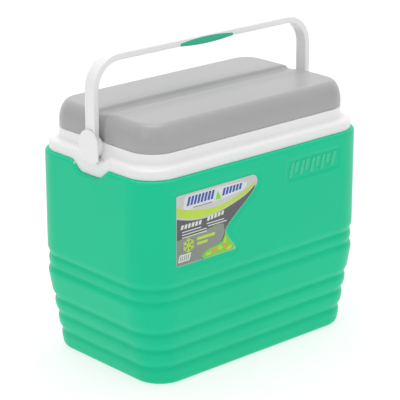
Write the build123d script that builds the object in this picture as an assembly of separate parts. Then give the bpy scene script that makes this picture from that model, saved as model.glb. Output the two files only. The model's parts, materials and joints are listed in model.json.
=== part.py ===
from build123d import *
import math
import os

# Hard picnic cooler with a lift-off lid and a swinging bail handle. Millimetres, +Z up.
# X runs along the long side, Y across the depth with the front at -Y, and the origin is at the
# centre of the base, on the surface that the cooler stands on.

# --- outer shell ---
SHELL_LENGTH = 340.0
SHELL_DEPTH = 205.6
SHELL_HEIGHT = 243.0
SHELL_CORNER_R = 41.0
SHELL_WALL = 2.4
SHOULDER_R = 4.0
TAPER_TOP_Z = 98.0        # the walls are upright above this level
END_TAPER = 17.3          # how far each end has moved in at the base
SIDE_TAPER = 8.6          # the same for the long sides
CORNER_TAPER = 6.5        # how much the corner radius has shrunk at the base
GROOVE_DEPTH = 3.0
GROOVE_ROLL = 9.0         # height over which a rib rolls into the groove beside it
GROOVE_LEVELS = [22.5, 44.5, 65.0, 104.0, 119.0]
NARROW_RIB_INSET = 1.1    # the rib between the two upper grooves stands back a little
BASE_R = 6.0              # rounding of the bottom edge
BASE_DISH = 1.2           # the base is dished inside its rim, so it stands on the rim
BASE_RIM = 16.0

# --- inner liner ---
LINER_WALL = 2.0
LINER_TAPER = 4.0         # how far each liner wall moves in from mouth to floor
FLOOR_Z = 24.0            # top face of the liner's floor
LINER_FLANGE = 8.0
LINER_FLANGE_THICK = 2.0

# --- rim collar ---
LIP_STEP = 4.5            # the shell's shoulder stands this far outside the collar's lip
LIP_HEIGHT = 12.0
LIP_FILLET = 3.5
BAND_STEP = 10.0          # width of the ledge between lip and upper band
BAND_HEIGHT = 14.0
BAND_R = 31.5             # corner radius of the upper band and of the lid
RIM_WIDTH = 8.0           # width of the collar's flat top, from the band to the mouth
COLLAR_WALL = 3.0
TONGUE_DEPTH = 12.0       # how far the skirt dips below the shell's top at each end
TONGUE_ROOT = 73.0
TONGUE_TIP = 26.0
TONGUE_GAP = 0.3
TONGUE_LAP = 1.5          # how far the tongue runs up into the lip
TONGUE_THICK = 3.0
SCOOP_DEPTH = 4.5         # the lip's top dips round each hub
SCOOP_ROOT = 54.0
SCOOP_TIP = 36.0

# --- lid ---
LID_GAP = 0.3             # lid to collar, and every other gap between bodies that may not touch
LID_HEIGHT = 31.0
LID_ROLL_IN = 13.0        # inward reach of the rolled top edge
LID_ROLL_DOWN = 26.0      # height of the rolled top edge
LID_WALL = 2.4
TROUGH_WIDTH = 40.0
TROUGH_DEPTH = 4.0
TROUGH_LOW = 0.3          # where the trough is deepest, as a share of its half width behind the middle
TROUGH_FALL = -0.1        # slope at the trough's front edge
TROUGH_CLIMB = 0.2        # slope at its back edge
END_NOTCH_WIDTH = 23.0
END_NOTCH_DEPTH = 2.4
PLUG_DEPTH = 20.0
PLUG_GAP = 1.2
PAN_WALL = 2.0
GASKET_HEIGHT = 3.0
GASKET_SEAT = 1.2         # depth of the gasket's groove in the plug
GASKET_GAP = 0.4          # gasket to mouth
GASKET_DROP = 5.0         # gasket's top below the flange

# --- bail handle ---
BAIL_WIDTH = 16.0         # along Y
BAIL_THICK = 7.7
BAIL_GAP = 4.5            # bail's bar to the lid's side when folded down
BAIL_INNER_R = 30.0
BAIL_EDGE_R = 1.6
HUB_R = 12.5
HUB_GAP = 0.3             # hub to the cheek inside it and the cover outside it
CHEEK_THICK = 2.1
CHEEK_R = 11.5
PIVOT_RISE = 8.5          # pivot axis above the ledge
BUSH_R = 6.0
PIN_R = 4.0
PIN_CLEARANCE = 0.05
PIN_SEAT = 1.3            # how far the pin enters the cover
COVER_THICK = 2.6
COVER_WIDTH = 32.0
COVER_RISE = 12.3         # centre of the cover's arched top above the ledge
COVER_FOOT = 4.0          # how far the cover reaches below the scoop
FOOT_WIDTH = 20.0
FOOT_LENGTH = 6.0
COVER_EDGE_R = 1.0
GRIP_LENGTH = 80.0
GRIP_BULGE = 2.6
GRIP_SEAT = 1.5           # how far the grip is let into the bail's bar
GRIP_SKIN = 0.4           # how far the grip stands outside the bar's faces
GRIP_TOP = 1.2            # white left showing above the grip's middle

# --- label, plaque and filling plugs ---
LABEL_THICK = 0.6
LABEL_RECESS = 0.8
LABEL_REACH = 2.0         # how far the label's left edge passes the end of the flat front face
LABEL_DROP = 19.0         # label's top edge below the shell's top
LABEL_HEIGHT = 81.0
LABEL_BORDER = 5.5        # bare margin of the recess round the label
LABEL_TIP_X = 120.0       # the next six place the label's right side from its left and lower edges
LABEL_TIP_DROP = 9.0
LABEL_TIP_R = 12.0
LABEL_WAIST_X = 73.0
LABEL_WAIST_Z = 27.0
LABEL_TOE_X = 87.0
PLAQUE_INSET = 7.0        # plaque's right edge from the end of the flat front face
PLAQUE_LENGTH = 87.0
PLAQUE_DROP = 13.5        # plaque's top edge below the shell's top
PLAQUE_HEIGHT = 26.5
PLAQUE_RECESS = 1.0
PLAQUE_CORNER_R = 4.0
PLUG_R = 9.0
PLUG_HEAD_R = 12.0
PLUG_HEAD = 1.0

# --- modelling aids ---
NEAR = 0.01               # lengths this close count as the same
LEAST_R = 1.0             # smallest rounding kept inside a wall
CUT_ABOVE = 9.0           # how far a cutting body stands above the face it cuts

# --- levels and sizes that follow ---
LEDGE_Z = SHELL_HEIGHT + LIP_HEIGHT
COLLAR_TOP_Z = LEDGE_Z + BAND_HEIGHT
LID_Z = COLLAR_TOP_Z + LID_GAP
LID_TOP_Z = LID_Z + LID_HEIGHT
PIVOT_Z = LEDGE_Z + PIVOT_RISE
LIP_HALF_X = SHELL_LENGTH / 2 - LIP_STEP
LIP_HALF_Y = SHELL_DEPTH / 2 - LIP_STEP
LIP_R = SHELL_CORNER_R - LIP_STEP
SCOOP_Z = LEDGE_Z - SCOOP_DEPTH
BAND_HALF_X = LIP_HALF_X - BAND_STEP
BAND_HALF_Y = LIP_HALF_Y - BAND_STEP
MOUTH_HALF_X = BAND_HALF_X - RIM_WIDTH
MOUTH_HALF_Y = BAND_HALF_Y - RIM_WIDTH
MOUTH_R = BAND_R - RIM_WIDTH
FLAT_HALF_X = SHELL_LENGTH / 2 - SHELL_CORNER_R
LABEL_LEFT = -FLAT_HALF_X - LABEL_REACH
LABEL_TOP = SHELL_HEIGHT - LABEL_DROP
LABEL_BOTTOM = LABEL_TOP - LABEL_HEIGHT
PLAQUE_X = FLAT_HALF_X - PLAQUE_INSET - PLAQUE_LENGTH / 2
PLAQUE_Z = SHELL_HEIGHT - PLAQUE_DROP - PLAQUE_HEIGHT / 2
CHEEK_X = BAND_HALF_X + LID_GAP
BAIL_INNER_X = CHEEK_X + CHEEK_THICK + HUB_GAP
BAIL_OUTER_X = BAIL_INNER_X + BAIL_THICK
COVER_IN_X = BAIL_OUTER_X + HUB_GAP
COVER_OUT_X = COVER_IN_X + COVER_THICK
BAR_HALF_X = BAIL_INNER_X - BAIL_INNER_R
BAIL_INNER_RISE = BAND_HALF_Y + BAIL_GAP
BAR_BOTTOM_Z = PIVOT_Z + BAIL_INNER_RISE
BAR_TOP_Z = BAR_BOTTOM_Z + BAIL_THICK
PLUG_HALF_X = MOUTH_HALF_X - PLUG_GAP
PLUG_HALF_Y = MOUTH_HALF_Y - PLUG_GAP
PLUG_CORNER_R = MOUTH_R - PLUG_GAP


def outline(z, half_x, half_y, radius):
    """Rounded rectangle at level z."""
    return Pos(0, 0, z) * RectangleRounded(2 * half_x, 2 * half_y, radius)


def slab(z0, z1, half_x, half_y, radius):
    """Upright block with rounded corners between two levels."""
    return extrude(outline(z0, half_x, half_y, radius), amount=z1 - z0)


def block(x, y, z):
    """Box between the two values given along each axis."""
    size = [b - a for a, b in (x, y, z)]
    centre = [(a + b) / 2 for a, b in (x, y, z)]
    return Pos(*centre) * Box(*size)


def rod(x0, x1, radius, z=PIVOT_Z):
    """Round bar along X on the pivot axis."""
    return Pos((x0 + x1) / 2, 0, z) * Rot(0, 90, 0) * Cylinder(radius, abs(x1 - x0))


# --- outer shell ---
def shell_outline(z, inset, shrink):
    """The shell's outline at a level, moved in by a rib's inset and by a wall."""
    share = max(0.0, 1.0 - z / TAPER_TOP_Z)
    half_x = SHELL_LENGTH / 2 - END_TAPER * share - inset - shrink
    half_y = SHELL_DEPTH / 2 - SIDE_TAPER * share - inset - shrink
    return outline(z, half_x, half_y, SHELL_CORNER_R - CORNER_TAPER * share - inset - shrink)


def rib_loft(levels, shrink):
    """Body through the shell's outlines at pairs of level and inset."""
    return loft([shell_outline(z, inset, shrink) for z, inset in levels])


def rib(z0, z1, shrink, crest=0.0, low_round=0.0, high_round=0.0):
    """One rib, from the groove at its foot to the groove at its head. A round replaces the groove at
    the shell's bottom and top edges."""
    def inset(from_edge, round_r):
        if round_r:
            drop = max(0.0, round_r - from_edge)
            return round_r - math.sqrt(round_r ** 2 - drop ** 2)
        roll = min(GROOVE_ROLL, (z1 - z0) / 2)
        return crest + (GROOVE_DEPTH - crest) * max(0.0, 1 - from_edge / roll) ** 2

    def levels(round_r):
        if round_r:
            return [round_r * (1 - math.cos(math.radians(a))) for a in (0, 22.5, 45, 67.5, 90)]
        roll = min(GROOVE_ROLL, (z1 - z0) / 2)
        return [roll * share for share in (0, 0.25, 0.5, 0.75, 1)]

    low = [(z0 + h, inset(h, low_round)) for h in levels(low_round)]
    high = [(z1 - h, inset(h, high_round)) for h in reversed(levels(high_round))]
    if high[0][0] - low[-1][0] < NEAR:
        return rib_loft(low + high[1:], shrink)
    return rib_loft(low, shrink) + rib_loft([low[-1], high[0]], shrink) + rib_loft(high, shrink)


def shell_body(shrink, bottom, top):
    """The ribbed body between two levels, every wall moved in by shrink."""
    edges = [bottom] + GROOVE_LEVELS + [top]
    solid = None
    for index, (z0, z1) in enumerate(zip(edges, edges[1:])):
        first = index == 0
        last = index == len(edges) - 2
        crest = NARROW_RIB_INSET if index == len(edges) - 3 else 0.0
        low = max(BASE_R - shrink, LEAST_R) if first else 0.0
        high = max(SHOULDER_R - shrink, LEAST_R) if last else 0.0
        piece = rib(z0, z1, shrink, crest, low, high)
        solid = piece if solid is None else solid + piece
    return solid


def dip(root, tip, high, low, x0, x1):
    """Body with a flat foot of half width tip and sides that flare to half width root at its top."""
    level = [(-1, 0), (-1, 0)]
    right = Spline((root, high), (tip, low), tangents=level)
    left = Spline((-tip, low), (-root, high), tangents=level)
    foot = Line((tip, low), (-tip, low))
    head = Line((-root, high), (root, high))
    profile = make_face([right, foot, left, head])
    plane = Plane(origin=(x0, 0, 0), x_dir=(0, 1, 0), z_dir=(1, 0, 0))
    return extrude(plane * profile, amount=x1 - x0)


def tongue(gap, x0, x1):
    """Skirt tongue that dips below the shell's top edge at the +X end, grown by a gap."""
    return dip(TONGUE_ROOT / 2 + gap, TONGUE_TIP / 2 + gap, SHELL_HEIGHT + TONGUE_LAP,
               SHELL_HEIGHT - TONGUE_DEPTH - gap, x0, x1)


def both_ends(solid):
    """The solid and its mirror image at the other end."""
    return solid + mirror(solid, about=Plane.YZ)


def front_panel(profile, depth, proud=0.0):
    """A profile drawn in X and Z on the front face, as a body from proud of the face to depth."""
    face_y = -SHELL_DEPTH / 2
    plane = Plane(origin=(0, face_y + depth, 0), x_dir=(1, 0, 0), z_dir=(0, -1, 0))
    return extrude(plane * profile, amount=depth + proud)


def label_outline(grow):
    """The label's outline: a swept tip at the upper right and a waist below it."""
    left = LABEL_LEFT - grow
    top = LABEL_TOP + grow
    low = LABEL_BOTTOM - grow
    tip = Vector(LABEL_LEFT + LABEL_TIP_X, LABEL_TOP - LABEL_TIP_DROP)
    waist = Vector(LABEL_LEFT + LABEL_WAIST_X, LABEL_BOTTOM + LABEL_WAIST_Z)
    toe = Vector(LABEL_LEFT + LABEL_TOE_X, LABEL_BOTTOM)
    edges = [
        Line((left, low), (left, top)),
        Line((left, top), (tip.X - LABEL_TIP_R, top)),
        Spline((tip.X - LABEL_TIP_R, top), (tip.X + grow, tip.Y), (waist.X + grow, waist.Y),
               (toe.X + grow, low), tangents=[(1, 0), (0.6, -1)]),
        Line((toe.X + grow, low), (left, low)),
    ]
    return make_face(edges)


def fill_plug(z0, depth):
    """Headed plug that closes a foam filling hole whose outer face is at z0, with the wall above it."""
    head = Pos(0, 0, z0 - PLUG_HEAD / 2) * Cylinder(PLUG_HEAD_R, PLUG_HEAD)
    return head + Pos(0, 0, z0 + depth / 2) * Cylinder(PLUG_R, depth)


def core_body():
    """The space inside the shell's walls."""
    return shell_body(SHELL_WALL, SHELL_WALL + BASE_DISH, SHELL_HEIGHT - SHELL_WALL)


def outer_shell():
    """Ribbed tub, open inside the collar, with notches for the collar's tongues."""
    solid = shell_body(0, 0, SHELL_HEIGHT) - core_body()
    solid -= slab(SHELL_HEIGHT - 2 * SHELL_WALL, SHELL_HEIGHT + 1, MOUTH_HALF_X + LINER_WALL,
                  MOUTH_HALF_Y + LINER_WALL, MOUTH_R + LINER_WALL)
    base_x = SHELL_LENGTH / 2 - END_TAPER - BASE_RIM
    base_y = SHELL_DEPTH / 2 - SIDE_TAPER - BASE_RIM
    solid -= slab(-1, BASE_DISH, base_x, base_y, SHELL_CORNER_R - CORNER_TAPER - BASE_RIM)
    solid -= both_ends(tongue(TONGUE_GAP, LIP_HALF_X - TONGUE_THICK, SHELL_LENGTH / 2 + 1))
    solid -= front_panel(label_outline(LABEL_BORDER), LABEL_RECESS, 1)
    plaque = Pos(PLAQUE_X, PLAQUE_Z) * RectangleRounded(PLAQUE_LENGTH, PLAQUE_HEIGHT, PLAQUE_CORNER_R)
    solid -= front_panel(plaque, PLAQUE_RECESS, 1)
    return solid - base_fill_plug()


def front_label():
    """Thin label set below the level of the front face."""
    return front_panel(label_outline(0), LABEL_RECESS, LABEL_THICK - LABEL_RECESS)


def base_fill_plug():
    """Plug in the dished base."""
    return fill_plug(BASE_DISH, SHELL_WALL)


# --- liner and foam ---
def tub(z0, z1, grow):
    """Tapered tub body between two levels, every wall moved out by grow."""
    def section(z):
        share = (SHELL_HEIGHT - z) / (SHELL_HEIGHT - FLOOR_Z)
        half_x = MOUTH_HALF_X - LINER_TAPER * share + grow
        half_y = MOUTH_HALF_Y - LINER_TAPER * share + grow
        return outline(z, half_x, half_y, MOUTH_R + grow)
    return loft([section(z0), section(z1)])


def liner_outside():
    """The liner as a filled body, without its flange."""
    return tub(FLOOR_Z - LINER_WALL, SHELL_HEIGHT, LINER_WALL)


def inner_liner():
    """Food tub with a flange that rests on the shell's top."""
    top = SHELL_HEIGHT + LINER_FLANGE_THICK
    reach = LINER_WALL + LINER_FLANGE
    flange = slab(SHELL_HEIGHT, top, MOUTH_HALF_X + reach, MOUTH_HALF_Y + reach,
                  MOUTH_R + reach)
    flange -= slab(SHELL_HEIGHT - 1, top + 1, MOUTH_HALF_X, MOUTH_HALF_Y, MOUTH_R)
    return liner_outside() - tub(FLOOR_Z, SHELL_HEIGHT, 0) + flange


def body_insulation():
    """Foam that fills the space between the shell and the liner."""
    solid = core_body() - liner_outside()
    solid -= both_ends(tongue(TONGUE_GAP, LIP_HALF_X - TONGUE_THICK, SHELL_LENGTH / 2 + 1))
    return solid


# --- collar and pivots ---
def pivot_cheek():
    """Arch-topped inner cheek that carries the +X pin, clear of the lid beside it."""
    solid = rod(CHEEK_X, CHEEK_X + CHEEK_THICK, CHEEK_R)
    solid += block((CHEEK_X, CHEEK_X + CHEEK_THICK), (-CHEEK_R, CHEEK_R), (LEDGE_Z - 1, PIVOT_Z))
    return solid + block((BAND_HALF_X - 1, CHEEK_X), (-CHEEK_R, CHEEK_R), (LEDGE_Z - 1, COLLAR_TOP_Z))


def hub_pocket():
    """Room for the +X hub to turn between the cheek and the cover."""
    return rod(CHEEK_X + CHEEK_THICK, COVER_IN_X, HUB_R + HUB_GAP)


def lip_scoop():
    """Dip in the lip's top round the +X hub."""
    return dip(SCOOP_ROOT / 2, SCOOP_TIP / 2, LEDGE_Z + TONGUE_LAP, SCOOP_Z, CHEEK_X + CHEEK_THICK,
               SHELL_LENGTH / 2)


def cover_foot():
    """Foot that lets the +X cover into the collar's lip."""
    return block((COVER_IN_X - FOOT_LENGTH, COVER_IN_X), (-FOOT_WIDTH / 2, FOOT_WIDTH / 2),
                 (SCOOP_Z - COVER_FOOT, SCOOP_Z))


def rim_collar():
    """Moulded rim: outer lip, ledge, upper band, two tongues, two scoops and two pivot cheeks."""
    lip = slab(SHELL_HEIGHT, LEDGE_Z, LIP_HALF_X, LIP_HALF_Y, LIP_R)
    lip = fillet(lip.edges().group_by(Axis.Z)[-1], LIP_FILLET)
    solid = lip + slab(LEDGE_Z - 1, COLLAR_TOP_Z, BAND_HALF_X, BAND_HALF_Y, BAND_R)
    channel = slab(SHELL_HEIGHT - 1, LEDGE_Z - COLLAR_WALL, LIP_HALF_X - COLLAR_WALL,
                   LIP_HALF_Y - COLLAR_WALL, LIP_R - COLLAR_WALL)
    channel -= slab(SHELL_HEIGHT + LINER_FLANGE_THICK, LEDGE_Z, MOUTH_HALF_X + COLLAR_WALL,
                    MOUTH_HALF_Y + COLLAR_WALL, MOUTH_R + COLLAR_WALL)
    hub_seat = SCOOP_ROOT / 2 + COLLAR_WALL
    channel -= both_ends(block((MOUTH_HALF_X, LIP_HALF_X), (-hub_seat, hub_seat),
                               (SHELL_HEIGHT + LINER_FLANGE_THICK, LEDGE_Z)))
    solid -= channel + both_ends(lip_scoop())
    solid -= slab(SHELL_HEIGHT - 1, COLLAR_TOP_Z + 1, MOUTH_HALF_X, MOUTH_HALF_Y, MOUTH_R)
    solid += both_ends(tongue(0, LIP_HALF_X - TONGUE_THICK, LIP_HALF_X))
    solid += both_ends(pivot_cheek() - hub_pocket())
    return solid - both_ends(hub_pocket() + cover_foot() + pivot_pin())


def pivot_pin():
    """Pin at the +X end, held in the cheek and in the cover."""
    return rod(CHEEK_X, COVER_IN_X + PIN_SEAT, PIN_R)


def pivot_cover():
    """Arch-topped cover at the +X end, with its foot."""
    half = COVER_WIDTH / 2
    arch_z = LEDGE_Z + COVER_RISE
    solid = rod(COVER_IN_X, COVER_OUT_X, half, arch_z)
    solid += block((COVER_IN_X, COVER_OUT_X), (-half, half), (SCOOP_Z - COVER_FOOT, arch_z))
    edges = solid.edges().filter_by_position(Axis.X, COVER_OUT_X - NEAR, COVER_OUT_X + NEAR)
    solid = fillet(edges, COVER_EDGE_R)
    return solid + cover_foot() - hub_pocket() - pivot_pin()


# --- bail handle ---
def bail_loop(half_x, top_z, radius):
    """Filled arch outline of the bail, from the pivot level up, through its whole width."""
    low = PIVOT_Z - radius
    shape = Pos(0, (low + top_z) / 2) * RectangleRounded(2 * half_x, top_z - low, radius)
    plane = Plane(origin=(0, BAIL_WIDTH / 2, 0), x_dir=(1, 0, 0), z_dir=(0, -1, 0))
    solid = extrude(plane * shape, amount=BAIL_WIDTH)
    return solid & block((-half_x, half_x), (-BAIL_WIDTH, BAIL_WIDTH), (PIVOT_Z, top_z))


def grip_body(reach):
    """Crescent that wraps the bar's underside and sides, within reach of its centre plane."""
    half = GRIP_LENGTH / 2
    end_z = BAR_BOTTOM_Z + GRIP_SEAT
    upper = ThreePointArc((-half, end_z), (0, BAR_TOP_Z - GRIP_TOP), (half, end_z))
    lower = ThreePointArc((half, end_z), (0, BAR_BOTTOM_Z - GRIP_BULGE), (-half, end_z))
    plane = Plane(origin=(0, reach, 0), x_dir=(1, 0, 0), z_dir=(0, -1, 0))
    return extrude(plane * make_face([upper, lower]), amount=2 * reach)


def grip_insert():
    """Soft grip moulded round the bar, open at the top."""
    core = BAIL_WIDTH / 2 - GRIP_SEAT
    half = GRIP_LENGTH / 2
    bar = block((-half, half), (-core, core), (BAR_BOTTOM_Z + GRIP_SEAT, BAR_TOP_Z))
    return grip_body(BAIL_WIDTH / 2 + GRIP_SKIN) - bar


def whole_bail():
    """Bail with a round hub at each end, bored for the bushes and let in for the grip."""
    solid = bail_loop(BAIL_OUTER_X, BAR_TOP_Z, BAIL_INNER_R + BAIL_THICK)
    solid -= bail_loop(BAIL_INNER_X, BAR_BOTTOM_Z, BAIL_INNER_R)
    sides = [-BAIL_WIDTH / 2, BAIL_WIDTH / 2]
    edges = [e for y in sides for e in solid.edges().filter_by_position(Axis.Y, y - NEAR, y + NEAR)
             if e.bounding_box().size.length > BAIL_THICK + NEAR]
    solid = fillet(edges, BAIL_EDGE_R)
    solid += both_ends(rod(BAIL_INNER_X, BAIL_OUTER_X, HUB_R))
    solid -= both_ends(rod(BAIL_INNER_X - 1, BAIL_OUTER_X + 1, BUSH_R))
    return solid - grip_insert()


def bail_bar():
    """The bail's straight bar, between its two corners."""
    return whole_bail() & block((-BAR_HALF_X, BAR_HALF_X), (-BAIL_WIDTH, BAIL_WIDTH), (PIVOT_Z, BAR_TOP_Z))


def bail_arm():
    """The bail's +X corner and arm, down to the hub."""
    return whole_bail() & block((BAR_HALF_X, BAIL_OUTER_X), (-BAIL_WIDTH, BAIL_WIDTH),
                                (PIVOT_Z - HUB_R, BAR_TOP_Z))


def pivot_bush():
    """Bush pressed into the +X hub."""
    return rod(BAIL_INNER_X, BAIL_OUTER_X, BUSH_R) - rod(BAIL_INNER_X, BAIL_OUTER_X, PIN_R + PIN_CLEARANCE)


# --- lid ---
def trough(drop):
    """Shallow valley along the lid's top, steeper at the back, lowered by drop."""
    half = TROUGH_WIDTH / 2
    top = LID_TOP_Z - drop
    floor = top - TROUGH_DEPTH
    sky = top + CUT_ABOVE
    valley = Spline((-half, top), (half * TROUGH_LOW, floor), (half, top),
                    tangents=[(1, TROUGH_FALL), (1, TROUGH_CLIMB)])
    profile = make_face([valley, Polyline((half, top), (half, sky), (-half, sky), (-half, top))])
    plane = Plane(origin=(-SHELL_LENGTH / 2, 0, 0), x_dir=(0, 1, 0), z_dir=(1, 0, 0))
    return extrude(plane * profile, amount=SHELL_LENGTH)


def end_notch(shrink):
    """Upright notch in the lid's +X end behind the bail's arm, with its walls moved in by shrink."""
    half = END_NOTCH_WIDTH / 2 + shrink
    return block((BAND_HALF_X - END_NOTCH_DEPTH - shrink, SHELL_LENGTH), (-half, half),
                 (LID_Z - 1, LID_TOP_Z + 1))


def lid_body(shrink):
    """The pillow-shaped lid as a filled body, every wall moved in by shrink."""
    roll_z = LID_TOP_Z - LID_ROLL_DOWN
    sections = [outline(LID_Z, BAND_HALF_X - shrink, BAND_HALF_Y - shrink, BAND_R - shrink)]
    for angle in (0, 18, 36, 54, 72, 90):
        turn = math.radians(angle)
        inset = LID_ROLL_IN * (1 - math.cos(turn)) + shrink
        z = roll_z + (LID_ROLL_DOWN - shrink) * math.sin(turn)
        sections.append(outline(z, BAND_HALF_X - inset, BAND_HALF_Y - inset, BAND_R - inset))
    solid = loft(sections[:2]) + loft(sections[1:])
    return solid - trough(shrink) - both_ends(end_notch(shrink))


def lid_cover():
    """Grey outer skin of the lid, open below."""
    return lid_body(0) - lid_body(LID_WALL)


def plug_body(z0, shrink):
    """The lid's plug from z0 up to the flange, every wall moved in by shrink."""
    return slab(z0, LID_Z + PAN_WALL, PLUG_HALF_X - shrink, PLUG_HALF_Y - shrink, PLUG_CORNER_R - shrink)


def lid_gasket():
    """Sealing ring in the plug's groove."""
    top = LID_Z - GASKET_DROP
    out = PLUG_GAP - GASKET_GAP
    solid = slab(top - GASKET_HEIGHT, top, PLUG_HALF_X + out, PLUG_HALF_Y + out, PLUG_CORNER_R + out)
    return solid - slab(top - GASKET_HEIGHT, top, PLUG_HALF_X - GASKET_SEAT, PLUG_HALF_Y - GASKET_SEAT,
                        PLUG_CORNER_R - GASKET_SEAT)


def lid_pan():
    """White underside: a flange inside the cover's skirt and a hollow plug below it."""
    flange = lid_body(LID_WALL) & block((-SHELL_LENGTH, SHELL_LENGTH), (-SHELL_DEPTH, SHELL_DEPTH),
                                        (LID_Z, LID_Z + PAN_WALL))
    low = LID_Z - PLUG_DEPTH
    solid = flange + plug_body(low, 0) - plug_body(low + PAN_WALL, PAN_WALL + GASKET_SEAT)
    return solid - lid_gasket() - lid_fill_plug()


def lid_fill_plug():
    """Plug in the pan's underside."""
    return fill_plug(LID_Z - PLUG_DEPTH, PAN_WALL)


def lid_insulation():
    """Foam inside the cover and the plug."""
    above = lid_body(LID_WALL) & block((-SHELL_LENGTH, SHELL_LENGTH), (-SHELL_DEPTH, SHELL_DEPTH),
                                       (LID_Z + PAN_WALL, LID_TOP_Z))
    return above + plug_body(LID_Z - PLUG_DEPTH + PAN_WALL, PAN_WALL + GASKET_SEAT)


def main():
    left = Plane.YZ
    nodes = {
        "outer_shell": outer_shell(),
        "body_insulation": body_insulation(),
        "inner_liner": inner_liner(),
        "rim_collar": rim_collar(),
        "right_pivot_cover": pivot_cover(),
        "left_pivot_cover": mirror(pivot_cover(), about=left),
        "right_pivot_pin": pivot_pin(),
        "left_pivot_pin": mirror(pivot_pin(), about=left),
        "front_label": front_label(),
        "base_fill_plug": base_fill_plug(),
        "bail_bar": bail_bar(),
        "right_bail_arm": bail_arm(),
        "left_bail_arm": mirror(bail_arm(), about=left),
        "grip_insert": grip_insert(),
        "right_pivot_bush": pivot_bush(),
        "left_pivot_bush": mirror(pivot_bush(), about=left),
        "lid_cover": lid_cover(),
        "lid_insulation": lid_insulation(),
        "lid_pan": lid_pan(),
        "lid_gasket": lid_gasket(),
        "lid_fill_plug": lid_fill_plug(),
    }
    os.makedirs("parts", exist_ok=True)
    for name, solid in nodes.items():
        export_step(solid, f"parts/{name}.step")


main()
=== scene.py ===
import json
import math

import bmesh
import bpy
import numpy as np
from mathutils import Matrix, Vector


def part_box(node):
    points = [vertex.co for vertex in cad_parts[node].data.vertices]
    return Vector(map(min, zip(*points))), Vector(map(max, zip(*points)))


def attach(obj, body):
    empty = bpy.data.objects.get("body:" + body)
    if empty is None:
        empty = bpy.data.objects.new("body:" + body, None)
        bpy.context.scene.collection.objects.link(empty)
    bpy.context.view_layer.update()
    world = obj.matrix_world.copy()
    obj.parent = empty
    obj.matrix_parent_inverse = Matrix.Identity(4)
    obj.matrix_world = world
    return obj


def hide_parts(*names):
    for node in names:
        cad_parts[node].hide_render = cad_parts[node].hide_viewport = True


# Hard picnic cooler: ribbed green tub, white rim, grey lift-off lid, white bail with a green grip.
# Metres, in the frame of the CAD model: X along the long side, front at -Y, +Z up.

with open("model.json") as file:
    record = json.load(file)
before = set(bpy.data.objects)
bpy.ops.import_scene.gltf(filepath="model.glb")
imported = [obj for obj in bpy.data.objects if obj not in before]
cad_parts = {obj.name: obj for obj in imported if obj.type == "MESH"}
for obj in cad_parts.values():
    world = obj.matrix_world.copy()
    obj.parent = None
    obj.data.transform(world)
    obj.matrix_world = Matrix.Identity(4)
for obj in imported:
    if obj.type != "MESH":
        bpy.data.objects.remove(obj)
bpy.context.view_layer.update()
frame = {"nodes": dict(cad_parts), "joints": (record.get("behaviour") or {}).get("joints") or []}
MM = 0.001

# --- places taken from the CAD model ---
SHELL_LO, SHELL_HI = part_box("outer_shell")
LID_LO, LID_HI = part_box("lid_cover")
GRIP_LO, GRIP_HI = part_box("grip_insert")
COVER_LO, COVER_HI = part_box("right_pivot_cover")
LABEL_LO, LABEL_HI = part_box("front_label")
COLLAR_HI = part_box("rim_collar")[1]
LINER_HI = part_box("inner_liner")[1]
ARM_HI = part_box("right_bail_arm")[1]
BAR_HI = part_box("bail_bar")[1]
PIVOT = Vector(next(j["pos_m"] for j in frame["joints"] if j["name"] == "handle_swing"))


# --- mesh building ---
SAME_PLACE = 1e-7
FAR_AWAY = 1e9


def make_object(name, verts, faces, material, smooth=True):
    """Mesh object from plain lists, with its normals made to point outwards."""
    mesh = bpy.data.meshes.new(name)
    mesh.from_pydata([tuple(v) for v in verts], [], faces)
    mesh.materials.append(material)
    mesh.polygons.foreach_set("use_smooth", [smooth] * len(mesh.polygons))
    work = bmesh.new()
    work.from_mesh(mesh)
    bmesh.ops.remove_doubles(work, verts=work.verts, dist=SAME_PLACE)
    bmesh.ops.recalc_face_normals(work, faces=work.faces)
    work.to_mesh(mesh)
    work.free()
    mesh.update()
    obj = bpy.data.objects.new(name, mesh)
    bpy.context.scene.collection.objects.link(obj)
    return obj


def strip_faces(rings, count):
    """Quads between neighbouring closed rings that each hold count points."""
    faces = []
    for r in range(rings - 1):
        low, high = r * count, (r + 1) * count
        for i in range(count):
            j = (i + 1) % count
            faces.append((low + i, low + j, high + j, high + i))
    return faces


def rings_object(name, rings, material, hollow=False):
    """Closed body from a stack of rings of points, all of one length. A hollow one joins its last ring
    to its first, and any other has a cap at each end."""
    count = len(rings[0])
    verts = [p for ring in rings for p in ring]
    faces = strip_faces(len(rings), count)
    last = (len(rings) - 1) * count
    if hollow:
        faces += [(last + i, last + (i + 1) % count, (i + 1) % count, i) for i in range(count)]
    else:
        faces += [tuple(reversed(range(count))), tuple(range(last, last + count))]
    return make_object(name, verts, faces, material)


def rounded_outline(half_x, half_y, radius, long_steps, short_steps, corner_steps):
    """Points of a rounded rectangle with their outward normals, from the front left corner round."""
    points = []
    normals = []
    ax, ay = half_x - radius, half_y - radius

    def side(start, end, normal, steps):
        for k in range(steps):
            t = k / steps
            points.append((start[0] + (end[0] - start[0]) * t, start[1] + (end[1] - start[1]) * t))
            normals.append(normal)

    def corner(cx, cy, first):
        for k in range(corner_steps):
            angle = math.radians(first + 90 * k / corner_steps)
            points.append((cx + radius * math.cos(angle), cy + radius * math.sin(angle)))
            normals.append((math.cos(angle), math.sin(angle)))

    side((-ax, -half_y), (ax, -half_y), (0, -1), long_steps)
    corner(ax, -ay, -90)
    side((half_x, -ay), (half_x, ay), (1, 0), short_steps)
    corner(ax, ay, 0)
    side((ax, half_y), (-ax, half_y), (0, 1), long_steps)
    corner(-ax, ay, 90)
    side((-half_x, ay), (-half_x, -ay), (-1, 0), short_steps)
    corner(-ax, -ay, 180)
    return points, normals


def smoothstep(low, high, value):
    """0 below low, 1 above high and a smooth rise between."""
    t = np.clip((value - low) / (high - low), 0, 1)
    return t * t * (3 - 2 * t)


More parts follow.
